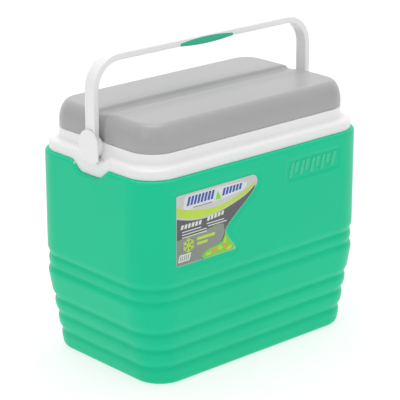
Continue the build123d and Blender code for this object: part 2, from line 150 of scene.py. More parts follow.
def polygon_distance(px, pz, polygon):
    """Signed distance of points to a closed polygon, negative inside."""
    poly = np.array(polygon)
    nxt = np.roll(poly, -1, axis=0)
    best = np.full(px.shape, FAR_AWAY)
    inside = np.zeros(px.shape, bool)
    for (ax, az), (bx, bz) in zip(poly, nxt):
        dx, dz = bx - ax, bz - az
        t = np.clip(((px - ax) * dx + (pz - az) * dz) / (dx * dx + dz * dz), 0, 1)
        best = np.minimum(best, np.hypot(px - ax - t * dx, pz - az - t * dz))
        if az != bz:
            inside ^= ((az > pz) != (bz > pz)) & (px < ax + (pz - az) * dx / dz)
    return np.where(inside, -best, best)


def moved(point, across, up):
    """A point in X and Z, moved by millimetres."""
    return point[0] + across * MM, point[1] + up * MM


def bezier(p0, p1, p2, p3, steps):
    """Points of one cubic curve, without its last."""
    points = []
    for k in range(steps):
        t = k / steps
        weights = ((1 - t) ** 3, 3 * t * (1 - t) ** 2, 3 * t * t * (1 - t), t ** 3)
        points.append(tuple(sum(w * p[i] for w, p in zip(weights, (p0, p1, p2, p3))) for i in (0, 1)))
    return points


# --- materials ---
DRIFT_SCALE = 9               # noise cells per metre, here and in the next two
SCUFF_SCALE = 160
RIPPLE_SCALE = 26
DRIFT_BAND = (0.3, 0.7)       # noise values at which the colour is darkest and lightest
SCUFF = 0.04                  # how far scuffs change the roughness
EDGE_BAND = (0.52, 0.60)      # pointiness at which the painted edge highlight starts, and is at full strength
EDGE_PALE = 0.45              # how far the painted edge highlight goes towards white
COAT_ROUGHNESS = 0.12
GRAIN_HEIGHT = 0.6 * MM
RIPPLE_STRENGTH = 0.05
RIPPLE_HEIGHT = 2 * MM


def add_noise(tree, scale, detail, rough=0.5):
    """Noise over the object's own space."""
    place = tree.nodes.new("ShaderNodeTexCoord")
    noise = tree.nodes.new("ShaderNodeTexNoise")
    noise.inputs["Scale"].default_value = scale
    noise.inputs["Detail"].default_value = detail
    noise.inputs["Roughness"].default_value = rough
    tree.links.new(place.outputs["Object"], noise.inputs["Vector"])
    return noise.outputs["Fac"]


def add_range(tree, source, low, high, start=0.0, end=1.0):
    """Value that goes from low to high while its source goes from start to end."""
    node = tree.nodes.new("ShaderNodeMapRange")
    node.inputs["From Min"].default_value = start
    node.inputs["From Max"].default_value = end
    node.inputs["To Min"].default_value = low
    node.inputs["To Max"].default_value = high
    tree.links.new(source, node.inputs["Value"])
    return node.outputs["Result"]


def add_drift(tree, color, vary):
    """Slow drift between a darker and a lighter shade of a colour."""
    ramp = tree.nodes.new("ShaderNodeValToRGB")
    shades = ([c * (1 - vary) for c in color], [min(1, c * (1 + vary)) for c in color])
    for stop, position, shade in zip(ramp.color_ramp.elements, DRIFT_BAND, shades):
        stop.position = position
        stop.color = (*shade, 1)
    tree.links.new(add_noise(tree, DRIFT_SCALE, 3), ramp.inputs["Fac"])
    return ramp.outputs["Color"]


def add_edge_highlight(tree, base, color, edge_highlight):
    """Painted highlight: paler colour along the convex edges."""
    shape = tree.nodes.new("ShaderNodeNewGeometry")
    mix = tree.nodes.new("ShaderNodeMix")
    mix.data_type = "RGBA"
    share = add_range(tree, shape.outputs["Pointiness"], 0, edge_highlight, *EDGE_BAND)
    tree.links.new(share, mix.inputs["Factor"])
    tree.links.new(base, mix.inputs["A"])
    mix.inputs["B"].default_value = (*[c + (1 - c) * EDGE_PALE for c in color], 1)
    return mix.outputs["Result"]


def add_bump(tree, source, strength, height, under=None):
    """Bump of a height, laid over another bump where one is given."""
    bump = tree.nodes.new("ShaderNodeBump")
    bump.inputs["Strength"].default_value = strength
    bump.inputs["Distance"].default_value = height
    tree.links.new(source, bump.inputs["Height"])
    if under is not None:
        tree.links.new(under, bump.inputs["Normal"])
    return bump.outputs["Normal"]


def plastic(name, color, roughness=0.35, grain=0.02, grain_scale=900, vary=0.03, edge_highlight=0.0, specular=0.5,
            coat=0.0):
    """Moulded plastic: fine grain, slow colour drift, handling scuffs and a painted highlight along its
    edges.
    """
    material = bpy.data.materials.new(name)
    material.use_nodes = True
    tree = material.node_tree
    shader = tree.nodes["Principled BSDF"]
    shader.inputs["Specular IOR Level"].default_value = specular
    shader.inputs["Coat Weight"].default_value = coat
    shader.inputs["Coat Roughness"].default_value = COAT_ROUGHNESS
    base = add_drift(tree, color, vary)
    # painted highlight: paler colour along the convex edges
    if edge_highlight:
        base = add_edge_highlight(tree, base, color, edge_highlight)
    scuffs = add_noise(tree, SCUFF_SCALE, 6, 0.65)
    fine = add_bump(tree, add_noise(tree, grain_scale, 3), grain, GRAIN_HEIGHT)
    ripple = add_bump(tree, add_noise(tree, RIPPLE_SCALE, 2), RIPPLE_STRENGTH, RIPPLE_HEIGHT, fine)
    tree.links.new(base, shader.inputs["Base Color"])
    tree.links.new(add_range(tree, scuffs, roughness - SCUFF, roughness + SCUFF), shader.inputs["Roughness"])
    tree.links.new(ripple, shader.inputs["Normal"])
    return material


def bright_metal(name, color):
    """Ground steel with a fine grain."""
    material = plastic(name, color, roughness=0.3, grain=0.1, grain_scale=1500, vary=0.05)
    material.node_tree.nodes["Principled BSDF"].inputs["Metallic"].default_value = 1.0
    return material


def film(name, color, vary):
    """Glossy printed film."""
    return plastic(name, color, roughness=0.28, grain=0.01, vary=vary, coat=0.4)


GREEN = (0.004, 0.625, 0.325)
# the shell, the white parts and the lid get a painted highlight along their convex edges
GREEN_SHELL = plastic("green_shell", GREEN, roughness=0.38, grain=0.10, edge_highlight=0.3, vary=0.02, specular=0.22)
WHITE = plastic("white_plastic", (0.93, 0.93, 0.93), roughness=0.30, grain=0.05, edge_highlight=0.3, vary=0.006)
LID_GREY = plastic("lid_grey", (0.425, 0.425, 0.425), roughness=0.30, grain=0.06, edge_highlight=0.2, vary=0.015)
GRIP_GREEN = plastic("grip_rubber", (0.022, 0.52, 0.31), roughness=0.55, grain=0.35, grain_scale=1600,
                     vary=0.04)
RUBBER_GREY = plastic("gasket_rubber", (0.42, 0.43, 0.43), roughness=0.6, grain=0.2, grain_scale=1400)
BUSH_WHITE = plastic("bush_plastic", (0.66, 0.66, 0.63), roughness=0.4, grain=0.05)
FOAM = plastic("foam", (0.80, 0.79, 0.75), roughness=0.85, grain=0.6, grain_scale=700, vary=0.08)
STEEL = bright_metal("pin_steel", (0.56, 0.57, 0.58))
LABEL_SILVER = film("label_silver", (0.60, 0.61, 0.60), vary=0.03)
LABEL_LIME = film("label_lime", (0.50, 0.72, 0.02), vary=0.08)
LABEL_DARK = film("label_dark", (0.075, 0.082, 0.085), vary=0.15)
LABEL_PALE = film("label_pale", (0.74, 0.76, 0.74), vary=0.02)
LABEL_BLUE = film("label_blue", (0.0, 0.065, 0.42), vary=0.05)
LABEL_GREEN = film("label_green", (0.17, 0.66, 0.02), vary=0.2)
LABEL_ORANGE = film("label_orange", (0.78, 0.33, 0.02), vary=0.1)
LABEL_MID = film("label_mid", (0.24, 0.27, 0.22), vary=0.15)

NODE_MATERIALS = {
    "outer_shell": GREEN_SHELL,
    "base_fill_plug": GREEN_SHELL,
    "inner_liner": WHITE,
    "rim_collar": WHITE,
    "left_pivot_cover": WHITE,
    "right_pivot_cover": WHITE,
    "bail_bar": WHITE,
    "left_bail_arm": WHITE,
    "right_bail_arm": WHITE,
    "lid_pan": WHITE,
    "lid_fill_plug": WHITE,
    "lid_cover": LID_GREY,
    "grip_insert": GRIP_GREEN,
    "lid_gasket": RUBBER_GREY,
    "left_pivot_bush": BUSH_WHITE,
    "right_pivot_bush": BUSH_WHITE,
    "left_pivot_pin": STEEL,
    "right_pivot_pin": STEEL,
    "body_insulation": FOAM,
    "lid_insulation": FOAM,
    "front_label": LABEL_SILVER,
}
for node, material in NODE_MATERIALS.items():
    mesh = frame["nodes"][node].data
    mesh.materials.clear()
    mesh.materials.append(material)


def finish_piece(piece, body, slot, *nodes):
    """Hang a piece on its body and hide the CAD nodes it stands for. The slot is not used."""
    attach(piece, body)
    if nodes:
        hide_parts(*nodes)
    return piece


# --- label outline on the front face, in X and Z ---
LABEL_LEFT = LABEL_LO.x
LABEL_TOP = LABEL_HI.z
LABEL_BOTTOM = LABEL_LO.z
LABEL_TIP = (LABEL_LEFT + 120.5 * MM, LABEL_TOP - 9.5 * MM)
LABEL_WAIST = (LABEL_LEFT + 73 * MM, LABEL_BOTTOM + 27 * MM)
LABEL_TOE = (LABEL_LEFT + 87.5 * MM, LABEL_BOTTOM + 1.5 * MM)
LABEL_HEEL = (LABEL_TOE[0] - 3 * MM, LABEL_BOTTOM)
LABEL_SHOULDER = (LABEL_TIP[0] - 8 * MM, LABEL_TOP)
LABEL_CORNER_R = 2.0 * MM


def label_right():
    """The label's right side in three runs: from tip to waist, on to the toe, and round the toe's foot."""
    upper = bezier(LABEL_TIP, moved(LABEL_TIP, -6, -15), moved(LABEL_WAIST, 9, 14), LABEL_WAIST, 16)
    lower = bezier(LABEL_WAIST, moved(LABEL_WAIST, -1.5, -8), moved(LABEL_TOE, -3, 9), LABEL_TOE, 10)
    foot = bezier(LABEL_TOE, (LABEL_TOE[0], LABEL_BOTTOM), moved(LABEL_HEEL, 2, 0), LABEL_HEEL, 5)
    return upper, lower, foot


def label_outline():
    """Label outline: straight left side, swept tip, concave right side and a flared toe."""
    left, top, low, r = LABEL_LEFT, LABEL_TOP, LABEL_BOTTOM, LABEL_CORNER_R
    points = [(left, low + r)]
    points += bezier((left, top - r), (left, top - r / 2), (left + r / 2, top), (left + r, top), 5)
    points += bezier(LABEL_SHOULDER, moved(LABEL_SHOULDER, 6, 0), moved(LABEL_TIP, 1, 4), LABEL_TIP, 10)
    for run in label_right():
        points += run
    return points + bezier((left + r, low), (left + r / 2, low), (left, low + r / 2), (left, low + r), 5)


# --- outer shell ---
TAPER_TOP_Z = 98 * MM
END_TAPER = 17.3 * MM
SIDE_TAPER = 8.6 * MM
CORNER_TAPER = 6.5 * MM
SHELL_CORNER_R = 41 * MM
GROOVES = [z * MM for z in (22.5, 44.5, 65.0, 104.0, 119.0)]
GROOVE_DEPTH = 3.4 * MM
GROOVE_ROLL = 9 * MM
GROOVE_SOFT = 0.9 * MM
NARROW_RIB_INSET = 1.1 * MM
BASE_R = 6 * MM
SHOULDER_R = 4 * MM
NOTCH_ROOT = 36.5 * MM
NOTCH_TIP = 13 * MM
NOTCH_DEPTH = 12 * MM
NOTCH_LAP = 1.5 * MM
NOTCH_START_Z = 196 * MM
FLANGE = 7 * MM               # the shell's top turns in by this under the collar
LABEL_BORDER = 5.5 * MM
LABEL_RECESS = 0.8 * MM
PLAQUE = (35 * MM, 122 * MM, 203 * MM, 229.5 * MM)    # left and right in X, low and high in Z
PLAQUE_CORNER = 4 * MM
PLAQUE_RECESS = 1.0 * MM
PRINT_MARGIN = 12 * MM        # levels this far past the label may still belong to its recess
LABEL_SOFT = (-1.6 * MM, 1.2 * MM)    # the recess's wall falls between these distances from its edge
PLAQUE_SOFT = (-1.6 * MM, 0.8 * MM)
FRONT_FACING = -0.99          # a normal with a smaller Y faces the front
SHELL_END_X = 140 * MM        # points further out than this belong to an end
FLANGE_DROP = 9 * MM
DISH_IN = 10 * MM             # the base's dish starts this far inside its rounding
DISH_RISE = 1.2 * MM
INNER_WALL = 8 * MM           # the hidden inner wall stands this far in from the outline at its high level
INNER_HIGH_Z = 30 * MM
INNER_LOW_Z = 12 * MM         # and comes down to this level
STEP = 1.5 * MM
BASE_STEPS = 8
SHOULDER_STEPS = 7
SHELL_COUNTS = (172, 56, 20)  # points on a long side, a short side and a corner, here and on the others


def rib_inset(z):
    """How far the rib profile stands back at a level."""
    edges = [-1.0] + GROOVES + [1.0]
    for low, high in zip(edges, edges[1:]):
        if low <= z <= high:
            crest = NARROW_RIB_INSET if low == GROOVES[-2] else 0.0
            roll = min(GROOVE_ROLL, (high - low) / 2)
            from_edge = min(z - low, high - z)
            from_edge = math.hypot(from_edge, GROOVE_SOFT)
            return crest + (GROOVE_DEPTH - crest) * max(0.0, 1 - from_edge / roll) ** 2
    return 0.0


def end_notch(y):
    """Depth of the tongue notch at a distance from the centre of an end, along the CAD model's curve."""
    t = np.linspace(0, 1, 41)
    ease = 3 * t ** 2 - 2 * t ** 3
    drop = NOTCH_DEPTH + NOTCH_LAP
    chord = math.hypot(NOTCH_ROOT - NOTCH_TIP, drop)
    reach = NOTCH_ROOT - (NOTCH_ROOT - NOTCH_TIP) * ease - chord * (2 * t ** 3 - 3 * t ** 2 + t)
    depth = np.maximum(drop * ease - NOTCH_LAP, 0)
    return np.interp(-np.abs(y), -reach, depth)


def shell_ring(z, inset):
    """The shell's outline at a level, as arrays of points and normals."""
    share = max(0.0, 1 - z / TAPER_TOP_Z)
    points, normals = rounded_outline(
        SHELL_HI.x - END_TAPER * share - inset, SHELL_HI.y - SIDE_TAPER * share - inset,
        max(SHELL_CORNER_R - CORNER_TAPER * share - inset, 2 * MM), *SHELL_COUNTS)
    return np.array(points), np.array(normals)


def shell_levels():
    """Levels of the shell's rings with how far each stands back: base edge, ribs, then shoulder."""
    top = SHELL_HI.z
    levels = []
    for k in range(BASE_STEPS + 1):
        angle = math.radians(90 * k / BASE_STEPS)
        levels.append((BASE_R * (1 - math.cos(angle)), BASE_R * (1 - math.sin(angle))))
    z = BASE_R + STEP
    while z < top - SHOULDER_R - STEP / 2:
        levels.append((z, rib_inset(z)))
        z += STEP
    for k in range(SHOULDER_STEPS + 1):
        angle = math.radians(90 * k / SHOULDER_STEPS)
        levels.append((top - SHOULDER_R * (1 - math.sin(angle)), SHOULDER_R * (1 - math.cos(angle))))
    return levels


def plaque_gap(x, z):
    """Signed distance of points to the plaque's rounded rectangle, negative inside."""
    left, right, low, high = PLAQUE
    across = np.abs(x - (left + right) / 2) - (right - left) / 2 + PLAQUE_CORNER
    up = np.abs(z - (low + high) / 2) - (high - low) / 2 + PLAQUE_CORNER
    outside = np.hypot(np.maximum(across, 0), np.maximum(up, 0))
    return outside + np.minimum(np.maximum(across, up), 0) - PLAQUE_CORNER


def recess_depth(x, z, front, label):
    """How deep the label's and plaque's recesses are at points of one level of the shell."""
    level = z[0]
    if not LABEL_BOTTOM - PRINT_MARGIN < level < LABEL_TOP + PRINT_MARGIN:
        return np.zeros(len(x))
    gap = polygon_distance(x, z, label) - LABEL_BORDER
    depth = LABEL_RECESS * (1 - smoothstep(*LABEL_SOFT, gap))
    depth += PLAQUE_RECESS * (1 - smoothstep(*PLAQUE_SOFT, plaque_gap(x, z)))
    return np.where(front, depth, 0)


def build_shell():
    """Ribbed tub with a label recess, a plaque recess and a notch at each end."""
    label = label_outline()
    rings = []
    for z, inset in shell_levels():
        points, normals = shell_ring(z, inset)
        x, y = points[:, 0], points[:, 1]
        height = np.full(len(points), z)
        depth = recess_depth(x, height, normals[:, 1] < FRONT_FACING, label)
        rise = max(0.0, (z - NOTCH_START_Z) / (SHELL_HI.z - NOTCH_START_Z))
        notch = end_notch(y) * (np.abs(x) > SHELL_END_X) * rise ** 2
        rings.append(np.column_stack([x - normals[:, 0] * depth, y - normals[:, 1] * depth, height - notch]))
    crest = rings[-1]
    flange = crest * np.array([1 - FLANGE / SHELL_HI.x, 1 - FLANGE / SHELL_HI.y, 1])
    rings += [flange, flange - np.array([0, 0, FLANGE_DROP])]

    def level_ring(outline_z, inset, z):
        outline = shell_ring(outline_z, inset)[0]
        return np.column_stack([outline, np.full(len(outline), z)])

    dish = [level_ring(0.0, BASE_R + DISH_IN + MM, DISH_RISE), level_ring(0.0, BASE_R + DISH_IN, 0.0)]
    rings = dish + rings + [level_ring(INNER_HIGH_Z, INNER_WALL, INNER_LOW_Z)]
    shell = rings_object("shell_skin", [list(map(tuple, r)) for r in rings], GREEN_SHELL)
    return finish_piece(shell, "chest", "green_shell", "outer_shell")


build_shell()


# --- rim collar ---
LIP_X = COLLAR_HI.x
LIP_Y = COLLAR_HI.y
LIP_CORNER_R = 36.5 * MM
LEDGE_Z = SHELL_HI.z + 12 * MM
COLLAR_TOP = LID_LO.z - 0.3 * MM
BAND_IN = 10 * MM
MOUTH_IN = 18.0 * MM
LEDGE_FILLET = 4.6 * MM
SCOOP_ROOT = 27 * MM
SCOOP_TIP = 17 * MM
SCOOP_DEPTH = 5 * MM
CHEEK_R = 11.5 * MM
CHEEK_THICK = 2.1 * MM
CHEEK_GAP = 0.3 * MM
SKIRT_IN = 6 * MM
SKIRT_EDGE_R = 0.7 * MM
SKIRT_GAP = 0.15 * MM
LIP_R = 4.2 * MM
RIM_EDGE_R = 0.8 * MM
TONGUE_IN = 7 * MM            # the skirt dips at insets smaller than this
SCOOP_IN = 6.5 * MM           # the scoop fades out from here to the band
BAND_CORNER_GROWTH = 5 * MM   # the band's corners are rounder than the lip's by this
LEAST_CORNER_R = 6 * MM
COLLAR_END_X = 130 * MM
COLLAR_COUNTS = (60, 80, 16)


def arc_profile(cx, cz, radius, first, last, steps):
    """Points of an arc as pairs of inset and level; the angle is measured from outward, up."""
    out = []
    for k in range(steps + 1):
        angle = math.radians(first + (last - first) * k / steps)
        out.append((cx - radius * math.cos(angle), cz + radius * math.sin(angle)))
    return out


def collar_profile():
    """Section of the rim from its lower inner edge, over the lip and band, to the mouth."""
    base = SHELL_HI.z + SKIRT_GAP
    profile = [(SKIRT_IN, base), (1.2 * MM, base)]
    profile += arc_profile(SKIRT_EDGE_R, base + SKIRT_EDGE_R, SKIRT_EDGE_R, -90, 0, 3)
    profile += [(0.0, base + rise * MM) for rise in (2.5, 4.5, 6.5)]
    profile += arc_profile(LIP_R, LEDGE_Z - LIP_R, LIP_R, 0, 80, 8)
    profile += [(BAND_IN - LEDGE_FILLET * (1 - math.sin(a)), LEDGE_Z + LEDGE_FILLET * (1 - math.cos(a)))
                for a in (math.radians(11.25 * k) for k in range(9))]
    profile += [(BAND_IN, LEDGE_Z + LEDGE_FILLET + 2 * MM), (BAND_IN, COLLAR_TOP - 3 * MM)]
    profile += arc_profile(BAND_IN + RIM_EDGE_R, COLLAR_TOP - RIM_EDGE_R, RIM_EDGE_R, 0, 90, 4)
    profile += [(BAND_IN + 4 * MM, COLLAR_TOP), (MOUTH_IN - 1.0 * MM, COLLAR_TOP),
                (MOUTH_IN - 0.3 * MM, COLLAR_TOP - 0.3 * MM), (MOUTH_IN, COLLAR_TOP - 1.0 * MM)]
    return profile + [(MOUTH_IN, LINER_HI.z), (MOUTH_IN - 3 * MM, LINER_HI.z)]


def build_collar():
    """White rim: its skirt dips as a tongue at each end and its lip sinks beside the pivot cover."""
    rings = []
    for inset, z in collar_profile():
        radius = max(LIP_CORNER_R - inset + BAND_CORNER_GROWTH * min(inset / BAND_IN, 1), LEAST_CORNER_R)
        points, _ = rounded_outline(LIP_X - inset, LIP_Y - inset, radius, *COLLAR_COUNTS)
        x, y = np.array(points).T
        height = np.clip((z - SHELL_HI.z) / (LEDGE_Z - SHELL_HI.z), 0, 1)
        low = end_notch(y) * (1 - height) * (inset < TONGUE_IN)
        sunk = (1 - smoothstep(SCOOP_TIP, SCOOP_ROOT, np.abs(y))) * SCOOP_DEPTH * height
        sunk = sunk * (1 - smoothstep(SCOOP_IN, BAND_IN, inset))
        rings.append(np.column_stack([x, y, z - (low + sunk) * (np.abs(x) > COLLAR_END_X)]))
    collar = rings_object("rim_skin", [list(map(tuple, r)) for r in rings], WHITE, hollow=True)
    return finish_piece(collar, "chest", "white_plastic", "rim_collar")


build_collar()


# --- bevelled plates and discs ---
RIM_ANGLE = 50                # an edge that turns by more than this gets a bevel
NORMAL_WEIGHT = 60


def bevelled_prism(name, outline, axis_plane, depth_low, depth_high, bevel, material, segments=3):
    """Closed plate from a 2D outline, with rounded rims. axis_plane turns (u, v, depth) into a point."""
    low = [axis_plane(u, v, depth_low) for u, v in outline]
    high = [axis_plane(u, v, depth_high) for u, v in outline]
    count = len(outline)
    faces = strip_faces(2, count) + [tuple(reversed(range(count))), tuple(range(count, 2 * count))]
    obj = make_object(name, low + high, faces, material)
    work = bmesh.new()
    work.from_mesh(obj.data)
    rims = [e for e in work.edges if e.calc_face_angle(0) > math.radians(RIM_ANGLE)]
    bmesh.ops.bevel(work, geom=rims, offset=bevel, segments=segments, profile=0.5, affect="EDGES",
                    clamp_overlap=True)
    work.to_mesh(obj.data)
    work.free()
    obj.data.polygons.foreach_set("use_smooth", [True] * len(obj.data.polygons))
    return obj


def arch_outline(half, top_z, low_z, chamfer=0.0, steps=28):
    """Arch-topped tab in Y and Z, its lower corners cut off by a chamfer."""
    centre = top_z - half
    points = [(half * math.cos(math.pi * k / steps), centre + half * math.sin(math.pi * k / steps))
              for k in range(steps + 1)]
    if not chamfer:
        return points + [(-half, low_z), (half, low_z)]
    return points + [(-half, low_z + chamfer), (-half + chamfer, low_z), (half - chamfer, low_z),
                     (half, low_z + chamfer)]


def weighted(obj):
    """Keep flat faces flat beside their rounded rims."""
    modifier = obj.modifiers.new("even_normals", "WEIGHTED_NORMAL")
    modifier.keep_sharp = True
    modifier.weight = NORMAL_WEIGHT
    return obj


COVER_THICK = 2.6 * MM
COVER_CHAMFER = 4.5 * MM
COVER_EDGE = 0.9 * MM
CHEEK_EDGE = 0.4 * MM
CHEEK_FOOT = 5 * MM           # cheek's lower end above the shell's top


def build_covers():
    """Arch-topped pivot covers with soft rims, and the thin cheek behind each hub."""
    cheek_x = LIP_X - BAND_IN + CHEEK_GAP
    for side, name in ((1, "right"), (-1, "left")):
        outline = arch_outline(COVER_HI.y, COVER_HI.z, COVER_LO.z, COVER_CHAMFER)
        cover = bevelled_prism(name + "_cover_face", outline, lambda u, v, d: (side * d, u, v),
                               COVER_HI.x - COVER_THICK, COVER_HI.x, COVER_EDGE, WHITE, 4)
        finish_piece(weighted(cover), "chest", "white_plastic", name + "_pivot_cover")
        outline = arch_outline(CHEEK_R, PIVOT.z + CHEEK_R, SHELL_HI.z + CHEEK_FOOT)
        cheek = bevelled_prism(name + "_cheek", outline, lambda u, v, d: (side * d, u, v),
                               cheek_x, cheek_x + CHEEK_THICK, CHEEK_EDGE, WHITE)
        finish_piece(weighted(cheek), "chest", "white_plastic")


build_covers()


# --- label print: thin layers on the plate, no lettering ---
LAYER = 0.05 * MM
LABEL_FACE = LABEL_LO.y + LAYER * 4
SLANT = 0.28


def facing_plate(name, outline, depth_low, depth_high, material):
    """Flat plate in X and Z that faces the front, from the deeper level to the nearer one."""
    count = len(outline)
    verts = [(x, depth, z) for depth in (depth_low, depth_high) for x, z in outline]
    faces = strip_faces(2, count) + [tuple(reversed(range(count))), tuple(range(count, 2 * count))]
    return make_object(name, verts, faces, material, smooth=False)


def printed(name, outline, layer, material):
    """One printed area of the label, in layers counted out from its face."""
    plate = facing_plate(name, outline, LABEL_FACE + LAYER / 2, LABEL_FACE - LAYER * layer, material)
    return finish_piece(plate, "chest", "label_film")


def slanted(x0, x1, z0, z1):
    """Parallelogram that leans to the right."""
    lean = SLANT * (z1 - z0)
    return [(x0, z0), (x1, z0), (x1 + lean, z1), (x0 + lean, z1)]


def mm_points(*pairs):
    """Points given in millimetres from the label's lower left corner."""
    return [(LABEL_LEFT + x * MM, LABEL_BOTTOM + z * MM) for x, z in pairs]


def mm_slanted(x0, x1, z0, z1):
    """Leaning bar given in millimetres from the label's lower left corner."""
    (left, low), (right, high) = mm_points((x0, z0), (x1, z1))
    return slanted(left, right, low, high)


def curve(points, steps=8):
    """Smooth line through points given in millimetres from the label's lower left corner."""
    places = mm_points(*points)
    padded = [places[0]] + places + [places[-1]]
    line = []
    for a, b, c, d in zip(padded, padded[1:], padded[2:], padded[3:]):
        first = tuple(b[i] + (c[i] - a[i]) / 6 for i in (0, 1))
        second = tuple(c[i] - (d[i] - b[i]) / 6 for i in (0, 1))
        line += bezier(b, first, second, c, steps)
    return line + [places[-1]]


PRINT_INSET = 0.5 * MM        # bare margin between the print and the label's edge
PRINT_LEFT = 0.6              # millimetres from the label's left and lower edges, as all print places are
SWOOSH_TOP = [(0.6, 68.5), (14, 62.5), (44, 57.3), (69, 57.4), (95, 63.8), (112.5, 70.8), (119.2, 72.6)]
SWOOSH_LOW = [(0.6, 57.0), (22.7, 51.0), (44, 49.0), (67.6, 51.8), (86, 56.2), (104.3, 62.2), (118.4, 71.0)]
DARK_TOP = [(0.6, 54.6), (22.7, 48.9), (44, 47.2), (67.6, 50.3), (86, 54.8), (104.3, 60.8), (117.6, 69.2)]
SHADE = [(0.6, 0.6), (0.6, 30), (14, 31), (40, 33), (62, 36), (70, 34), (71, 24), (66, 14), (60, 8), (40, 3),
         (36, 0.6)]
HALO = [(12, 62.6), (10.5, 66), (12, 76), (15, 79), (60, 78.6), (96, 76.8), (105, 74.5), (103, 69.5),
        (97, 66.5), (69, 63.5), (40, 62.4), (20, 62.0)]
PEAK = [(57, 64.5), (60.5, 74.5), (66, 64.5)]
RULES = [(8, 36, 37.6), (8, 44, 34.4), (8, 44, 31.2), (44, 70, 39.4), (46, 74, 36.4)]
RULE_HEIGHT = 1.1
BAR_PITCH = 5.0
BAR_WIDTH = 3.4
BLOCK_PITCH = 5.2
BLOCK_WIDTH = 3.6
FLAKE_PLACE = (17.5, 21.5)
FLAKE_REACH = 8.5 * MM
FLAKE_WIDTH = 0.95 * MM
TWIG_START = 0.55             # where a crystal arm's twigs start, as a share of the arm
TWIG_LENGTH = 0.42            # and their length
TWIG_WIDTH = 0.8
TWIG_LEAN = 50
FRUIT_LINE = [(40, 0.6), (37, 4.5), (46, 9.4), (60.5, 11.5), (67.5, 14.2), (71.2, 21)]
FRUIT = [(72.4, 8.0, 3.6, 2.8, 20, LABEL_ORANGE), (64.5, 7.2, 3.6, 2.6, -10, LABEL_LIME),
         (55, 6.8, 4.2, 2.2, 5, LABEL_ORANGE), (78, 4.4, 4.2, 2.2, 10, LABEL_LIME),
         (47, 4.6, 4.4, 1.8, 8, LABEL_LIME), (72, 14.6, 1.6, 3.8, -10, LABEL_LIME)]
STRIPE_PITCH = 2.9
STRIPE_WIDTH = 1.2


def below_line(line_mm):
    """Area of the label below a line that runs from its left edge to near its tip."""
    upper, lower, foot = label_right()
    edge = [(x - PRINT_INSET, z) for x, z in upper[2:] + lower]
    base = [(foot[-1][0] - PRINT_INSET, LABEL_BOTTOM + PRINT_INSET),
            (LABEL_LEFT + PRINT_LEFT * MM, LABEL_BOTTOM + PRINT_INSET)]
    return curve(line_mm) + edge + base


def turned_bar(cx, cz, turn, start, end, half):
    """Straight bar from start to end along a direction from a point."""
    ux, uz = math.cos(turn), math.sin(turn)
    return [(cx + ux * a - uz * b, cz + uz * a + ux * b)
            for a, b in ((start, -half), (end, -half), (end, half), (start, half))]


def snowflake(cx, cz, reach, width):
    """Six-armed snow crystal as bars about a centre."""
    bars = [turned_bar(cx, cz, math.radians(60 * k + 90), -reach, reach, width) for k in range(3)]
    for k in range(6):
        turn = math.radians(60 * k + 90)
        place = (cx + math.cos(turn) * reach * TWIG_START, cz + math.sin(turn) * reach * TWIG_START)
        for lean in (-TWIG_LEAN, TWIG_LEAN):
            bars.append(turned_bar(*place, turn + math.radians(lean), 0, reach * TWIG_LENGTH,
                                   width * TWIG_WIDTH))
    return bars


def ellipse(cx, cz, rx, rz, tilt=0.0, steps=20):
    """Ellipse with its long axis turned by tilt degrees."""
    t = math.radians(tilt)
    out = []
    for k in range(steps):
        a = math.tau * k / steps
        u, v = rx * math.cos(a), rz * math.sin(a)
        out.append((cx + u * math.cos(t) - v * math.sin(t), cz + u * math.sin(t) + v * math.cos(t)))
    return out


def print_header():
    """Pale halo with two rows of blue bars, a green peak between them and a rule below."""
    printed("label_halo", mm_points(*HALO), 1, LABEL_PALE)
    for k in range(8):
        x = 15 + BAR_PITCH * k
        printed(f"label_bar_{k}", mm_slanted(x, x + BAR_WIDTH, 66.8, 76.8), 2, LABEL_BLUE)
    for k in range(6):
        x = 67 + BAR_PITCH * k
        printed(f"label_bar_{k + 8}", mm_slanted(x, x + BAR_WIDTH, 67 + 0.3 * k, 75.4), 2, LABEL_BLUE)
    printed("label_peak", mm_points(*PEAK), 2, LABEL_GREEN)
    printed("label_rule", mm_slanted(24, 52, 62.8, 64.0), 2, LABEL_MID)


def print_field():
    """Pale blocks and lines, a snow crystal and two strips on the dark field."""
    for k in range(6):
        x = 6 + BLOCK_PITCH * k
        printed(f"label_block_{k}", mm_slanted(x, x + BLOCK_WIDTH, 41.5, 46.3), 3, LABEL_PALE)
    for k in range(5):
        x = 44.5 + BLOCK_PITCH * k
        block = mm_slanted(x, x + BLOCK_WIDTH, 43.0 + 0.5 * k, 47.6 + 0.5 * k)
        printed(f"label_block_{k + 6}", block, 3, LABEL_PALE)
    for k, (x0, x1, z) in enumerate(RULES):
        printed(f"label_line_{k}", mm_slanted(x0, x1, z, z + RULE_HEIGHT), 3, LABEL_PALE)
    flake = snowflake(*mm_points(FLAKE_PLACE)[0], FLAKE_REACH, FLAKE_WIDTH)
    for k, bar in enumerate(flake):
        printed(f"label_flake_{k}", bar, 3 + 0.2 * k, LABEL_LIME)
    printed("label_strip_0", mm_slanted(29.5, 56, 24.2, 27.6), 3, LABEL_LIME)
    printed("label_strip_1", mm_slanted(29.5, 45, 18.6, 21.8), 3, LABEL_LIME)


def print_fruit():
    """Green patch in the toe with a few fruit."""
    lower, foot = label_right()[1:]
    margin = PRINT_LEFT * MM
    patch = [(x - margin, z) for x, z in lower] + [(foot[-1][0], LABEL_BOTTOM + margin)]
    printed("label_fruit_ground", patch + curve(FRUIT_LINE), 3, LABEL_GREEN)
    for k, (x, z, rx, rz, tilt, paint) in enumerate(FRUIT):
        outline = ellipse(*mm_points((x, z))[0], rx * MM, rz * MM, tilt)
        printed(f"label_fruit_{k}", outline, 4 + 0.2 * k, paint)


